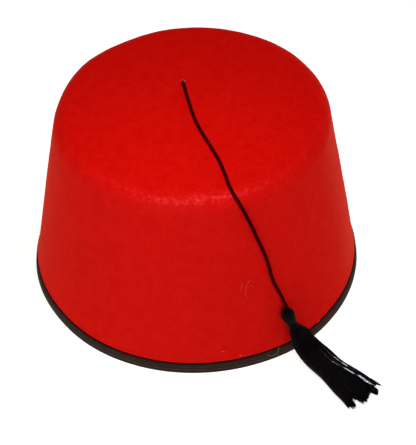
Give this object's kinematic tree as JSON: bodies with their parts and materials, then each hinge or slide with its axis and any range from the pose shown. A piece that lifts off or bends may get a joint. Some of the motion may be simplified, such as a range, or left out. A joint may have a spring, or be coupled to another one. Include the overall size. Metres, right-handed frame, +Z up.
{
  "type": "fez hat",
  "caption": "Soft felt fez: a tapered round crown, open below, with a bound rim and a thin cord from the top that ends in a tassel lying in front.",
  "frame": {"origin": "middle of the rim on the surface that the hat stands on", "axes": "+Z up through the top, -Y the front of the picture's view, +X to the right; the tassel lies at the front right"},
  "size_m": [0.194, 0.2229, 0.1154],
  "materials": {
    "red_felt": "matt pressed felt with a soft nap",
    "rim_tape": "woven tape",
    "twisted_cord": "twisted two-ply cord",
    "tassel_floss": "glossy floss threads"
  },
  "bodies": {
    "root": {"crown": "red_felt", "rim_binding": "rim_tape", "tassel_cord": "twisted_cord", "cord_knot": "twisted_cord", "tassel_head": "tassel_floss", "tassel_neck": "tassel_floss", "tassel_skirt": "tassel_floss"}
  },
  "joints": []
}
